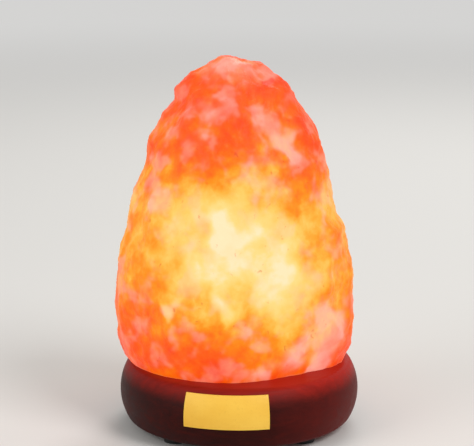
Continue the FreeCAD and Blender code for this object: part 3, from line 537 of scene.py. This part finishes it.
# The outline seen from the front, in mm: height above the base, reach to the left and the right.
# It was read off the photograph's outline and rounded.
OUTLINE = (
    (0, 58, 55),
    (7, 61.5, 58),
    (23, 64.5, 60),
    (33, 65, 59.5),
    (46, 63.5, 59.5),
    (59, 62, 57),
    (68, 59.5, 55.5),
    (72, 58, 55),
    (77, 57.5, 51),
    (94, 53, 47.5),
    (100, 50.5, 46.5),
    (106, 48, 44.5),
    (113, 47.5, 43),
    (119, 46.5, 41),
    (124, 43, 39),
    (131, 39.5, 34),
    (137, 34, 30),
    (144, 33.5, 26.5),
    (148, 29, 23),
    (152, 25.5, 18),
)
OUTLINE_BAND = 1.5 * MM  # the reach at a height is the widest point this near to it

BORE_RADIUS = 22.0 * MM
BORE_ROUNDING = 5.0 * MM
BORE_STEPS = 30
BORE_TOP = base_top + 90.0 * MM
FOOT_SHARES = (0.25, 0.5, 0.75)  # rings on the flat foot between the bore and the outside
NO_LENGTH = 1e-9  # keeps a vector of no length from being divided by zero


def outer_rows(tree):
    """Rows of points on the frame's crystal, from its bottom edge up and over to the top."""
    low = crystal_low.z
    crown = low + (crystal_high.z - low) * CROWN_START
    steps = int((crown - low) / SIDE_STEP)
    aims = [(low + FOOT_LIFT + (crown - low) * step / steps, 0.0) for step in range(steps)]
    aims += [(crown, math.pi / 2 * row / CROWN_ROWS) for row in range(CROWN_ROWS)]
    rows = np.zeros((len(aims), SPOKES, 3))
    for index, (level, tilt) in enumerate(aims):
        for spoke in range(SPOKES):
            turn = 2 * math.pi * spoke / SPOKES
            flat = math.cos(tilt)
            way = Vector((math.cos(turn) * flat, math.sin(turn) * flat, math.sin(tilt)))
            hit = tree.ray_cast(Vector((0, 0, level)) + way * AIM_FROM, -way)[0]
            rows[index, spoke] = hit if hit else rows[index, spoke - 1]
    return rows


def surface_normals(grid):
    """Normals of a grid of points, rows by spokes, that closes round the spokes."""
    across = np.roll(grid, -1, 1) - np.roll(grid, 1, 1)
    up = np.gradient(grid, axis=0)
    normals = np.cross(across, up)
    return normals / np.maximum(np.linalg.norm(normals, axis=2, keepdims=True), NO_LENGTH)


def chip(points, normals):
    """Breaks shallow dents into the crystal's surface and roughens it."""
    dice = random.Random(CHIP_SEED)
    for _ in range(DENTS):
        seat = points[dice.randrange(len(points))]
        radius = dice.uniform(*DENT_RADII) * MM
        depth = dice.uniform(*DENT_DEPTHS) * radius
        hollow = 1 - (np.linalg.norm(points - seat, axis=1) / radius) ** 2
        points = points - (np.clip(hollow, 0, 1) * depth)[:, None] * normals
    bumps = np.empty(len(points))
    for index, point in enumerate(points):
        place = Vector(point)
        heights = (
            height * noise.noise(place / (size * MM) + Vector(shift))
            for size, height, shift in ROUGHNESS
        )
        bumps[index] = sum(heights) * MM
    return points + normals * bumps[:, None]


def fit_outline(points):
    """Widens or narrows the crystal, in place, until its left and right reach are the outline's."""
    heights, left, right = (np.array(column) * MM for column in zip(*OUTLINE))
    level = points[:, 2] - base_top
    for side, reach in ((-1, left), (1, right)):
        bands = [np.abs(level - height) < OUTLINE_BAND for height in heights]
        ours = np.array([np.max(points[band, 0] * side) for band in bands])
        share = np.interp(level, heights, reach / ours)
        mine = points[:, 0] * side > 0
        points[mine, 0] *= share[mine]


def bore_rows():
    """Rings down the bore for the light unit, from its rounded top to the base."""
    turns = 2 * np.pi * np.arange(SPOKES) / SPOKES
    ring = np.stack([np.cos(turns), np.sin(turns), np.zeros(SPOKES)], 1)
    shoulder = BORE_TOP - BORE_ROUNDING
    drop = shoulder - base_top
    circles = [(BORE_RADIUS - BORE_ROUNDING, BORE_TOP)]
    circles += [(BORE_RADIUS, shoulder - drop * i / BORE_STEPS) for i in range(BORE_STEPS + 1)]
    return np.array([ring * radius + np.array([0, 0, level]) for radius, level in circles])


def ring_mesh(name, rings, first_end, last_end):
    """A closed mesh through rings of points, with a fan to a point at each end."""
    vertices = [tuple(point) for point in rings.reshape(-1, 3)]
    last = len(vertices) - SPOKES
    faces = []
    for low in range(0, last, SPOKES):
        high = low + SPOKES
        for spoke in range(SPOKES):
            after = (spoke + 1) % SPOKES
            faces.append((low + spoke, low + after, high + after, high + spoke))
    ceiling, peak = len(vertices), len(vertices) + 1
    vertices += [first_end, last_end]
    for spoke in range(SPOKES):
        after = (spoke + 1) % SPOKES
        faces.append((ceiling, after, spoke))
        faces.append((last + spoke, last + after, peak))
    mesh = bpy.data.meshes.new(name)
    mesh.from_pydata(vertices, [], faces)
    return mesh


def face_outwards(mesh):
    shape = bmesh.new()
    shape.from_mesh(mesh)
    bmesh.ops.recalc_face_normals(shape, faces=shape.faces)
    shape.to_mesh(mesh)
    shape.free()


def salt_crystal():
    """The crystal: the frame's shape with dents, roughness and the photograph's outline."""
    source = NODES["salt_crystal"].data
    tree = BVHTree.FromPolygons(
        [vertex.co for vertex in source.vertices],
        [tuple(polygon.vertices) for polygon in source.polygons],
    )
    grid = outer_rows(tree)
    normals = surface_normals(grid).reshape(-1, 3)
    smooth = grid.reshape(-1, 3)
    points = chip(smooth, normals)
    moved = np.einsum("ij,ij->i", points - smooth, normals).reshape(grid.shape[:2])
    fit_outline(points)
    grid = points.reshape(grid.shape)
    # the foot stays flat on the base
    grid[0, :, 2] = base_top
    grid[:, :, 2] = np.maximum(grid[:, :, 2], base_top)

    bore = bore_rows()
    foot = np.array([bore[-1] * (1 - share) + grid[0] * share for share in FOOT_SHARES])
    rings = np.concatenate([bore, foot, grid])
    relief = np.concatenate([np.zeros((len(bore) + len(foot), SPOKES)), moved])
    mesh = ring_mesh("salt_crystal_shape", rings, (0, 0, BORE_TOP), tuple(grid[-1].mean(0)))
    amount = np.append(relief.reshape(-1), [0, relief[-1].mean()])
    attribute = mesh.attributes.new(RELIEF, "FLOAT", "POINT")
    attribute.data.foreach_set("value", (0.5 + amount / RELIEF_SPAN).astype(np.float32))
    face_outwards(mesh)
    mesh.shade_smooth()
    piece = bpy.data.objects.new("salt_crystal_lit", mesh)
    bpy.context.scene.collection.objects.link(piece)
    dress(piece, SALT)
    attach(piece, "lamp_body")
    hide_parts("salt_crystal")


salt_crystal()


# ---------------------------------------------------------------- floor, backdrop, light and camera


BACKDROP = (0.66, 0.655, 0.645, 1.0)  # linear
AMBIENT = (0.45, 0.45, 0.45, 1.0)  # linear, the world's light on the lamp and the floor
FLOOR_COLOUR = (222, 220, 216)
FLOOR_RADIUS, FLOOR_CORNERS = 60.0, 96
FADE_FROM, FADE_TO = 0.75, 1.9  # from the lamp, over which the floor passes into the backdrop

LIT_POINT = (0, 0, 0.09)  # what the lights are aimed at
# Round lights: name, place, width and power in watts.
LIGHTS = (
    ("key", (0.9, -0.9, 1.2), 0.9, 14),
    ("fill", (-1.1, -0.7, 0.7), 1.0, 6),
    ("rim", (0.3, 1.0, 1.1), 0.8, 7),
)

PHOTO_WIDTH = 474  # pixels
SENSOR = 36.0  # mm
FOCAL_PIXELS = 1878.0
CAMERA_BACK = 0.950
CAMERA_HEIGHT = 0.319
CAMERA_PITCH = 12.57  # degrees down from level
AXIS_PIXEL = 239.2  # where the base's axis stands across the photograph
NEAREST_SEEN = 0.01


def direct_view(tree):
    """1 where the camera, or a ray off gloss or through glass, looks at the background, else 0."""
    path = tree.nodes.new("ShaderNodeLightPath")
    seen = path.outputs["Is Camera Ray"]
    for name in ("Is Glossy Ray", "Is Transmission Ray"):
        either = tree.nodes.new("ShaderNodeMath")
        either.operation = "MAXIMUM"
        tree.links.new(seen, either.inputs[0])
        tree.links.new(path.outputs[name], either.inputs[1])
        seen = either.outputs[0]
    return seen


def floor_material():
    """A pale floor that takes shadows near the lamp and passes into the backdrop further out."""
    g = Graph("studio_floor")
    far = g.between(g.vector_math("LENGTH", g.place, result="Value"), FADE_FROM, FADE_TO)
    return g.finish(
        Base_Color=g.mix(far, linear(FLOOR_COLOUR), BLACK),
        Emission_Color=g.mix(g.math("MULTIPLY", far, direct_view(g.tree)), BLACK, BACKDROP),
        Emission_Strength=1.0,
        Roughness=0.75,
        Specular_IOR_Level=0.0,
    )


def studio():
    """A round floor out to the horizon."""
    turns = [2 * math.pi * corner / FLOOR_CORNERS for corner in range(FLOOR_CORNERS)]
    rim = [(FLOOR_RADIUS * math.cos(turn), FLOOR_RADIUS * math.sin(turn), 0) for turn in turns]
    slices = [(0, i + 1, (i + 1) % FLOOR_CORNERS + 1) for i in range(FLOOR_CORNERS)]
    mesh = bpy.data.meshes.new("studio_floor")
    mesh.from_pydata([(0, 0, 0)] + rim, [], slices)
    floor = bpy.data.objects.new("studio_floor", mesh)
    bpy.context.scene.collection.objects.link(floor)
    dress(floor, floor_material())


def world_light():
    """Even light from all round, with the backdrop where the world is looked at."""
    world = bpy.data.worlds.new("studio")
    bpy.context.scene.world = world
    world.use_nodes = True
    tree = world.node_tree
    mix = tree.nodes.new("ShaderNodeMix")
    mix.data_type = "RGBA"
    share, first, second = (mix.inputs[index] for index in Graph.MIX_INPUTS)
    tree.links.new(direct_view(tree), share)
    first.default_value = AMBIENT
    second.default_value = BACKDROP
    background = tree.nodes["Background"]
    tree.links.new(mix.outputs[Graph.MIX_RESULT], background.inputs["Color"])
    background.inputs["Strength"].default_value = 1.0


def area_light(name, place, width, power):
    light = bpy.data.lights.new(name, "AREA")
    light.shape = "DISK"
    light.size = width
    light.energy = power
    holder = bpy.data.objects.new(name, light)
    holder.location = place
    way = Vector(LIT_POINT) - Vector(place)
    holder.rotation_euler = way.to_track_quat("-Z", "Y").to_euler()
    bpy.context.scene.collection.objects.link(holder)


def camera():
    """The photograph's view: its lens, its height and its tilt."""
    lens = bpy.data.cameras.new("camera")
    lens.sensor_fit = "HORIZONTAL"
    lens.sensor_width = SENSOR
    lens.lens = FOCAL_PIXELS / PHOTO_WIDTH * SENSOR
    lens.clip_start = NEAREST_SEEN
    holder = bpy.data.objects.new("camera", lens)
    aside = (PHOTO_WIDTH / 2 - AXIS_PIXEL) / FOCAL_PIXELS * CAMERA_BACK
    holder.location = (aside, -CAMERA_BACK, CAMERA_HEIGHT)
    holder.rotation_euler = (math.radians(90 - CAMERA_PITCH), 0, 0)
    bpy.context.scene.collection.objects.link(holder)
    bpy.context.scene.camera = holder


studio()
world_light()
for name, place, width, power in LIGHTS:
    area_light(name, place, width, power)
camera()
bpy.context.scene.view_settings.view_transform = "Standard"
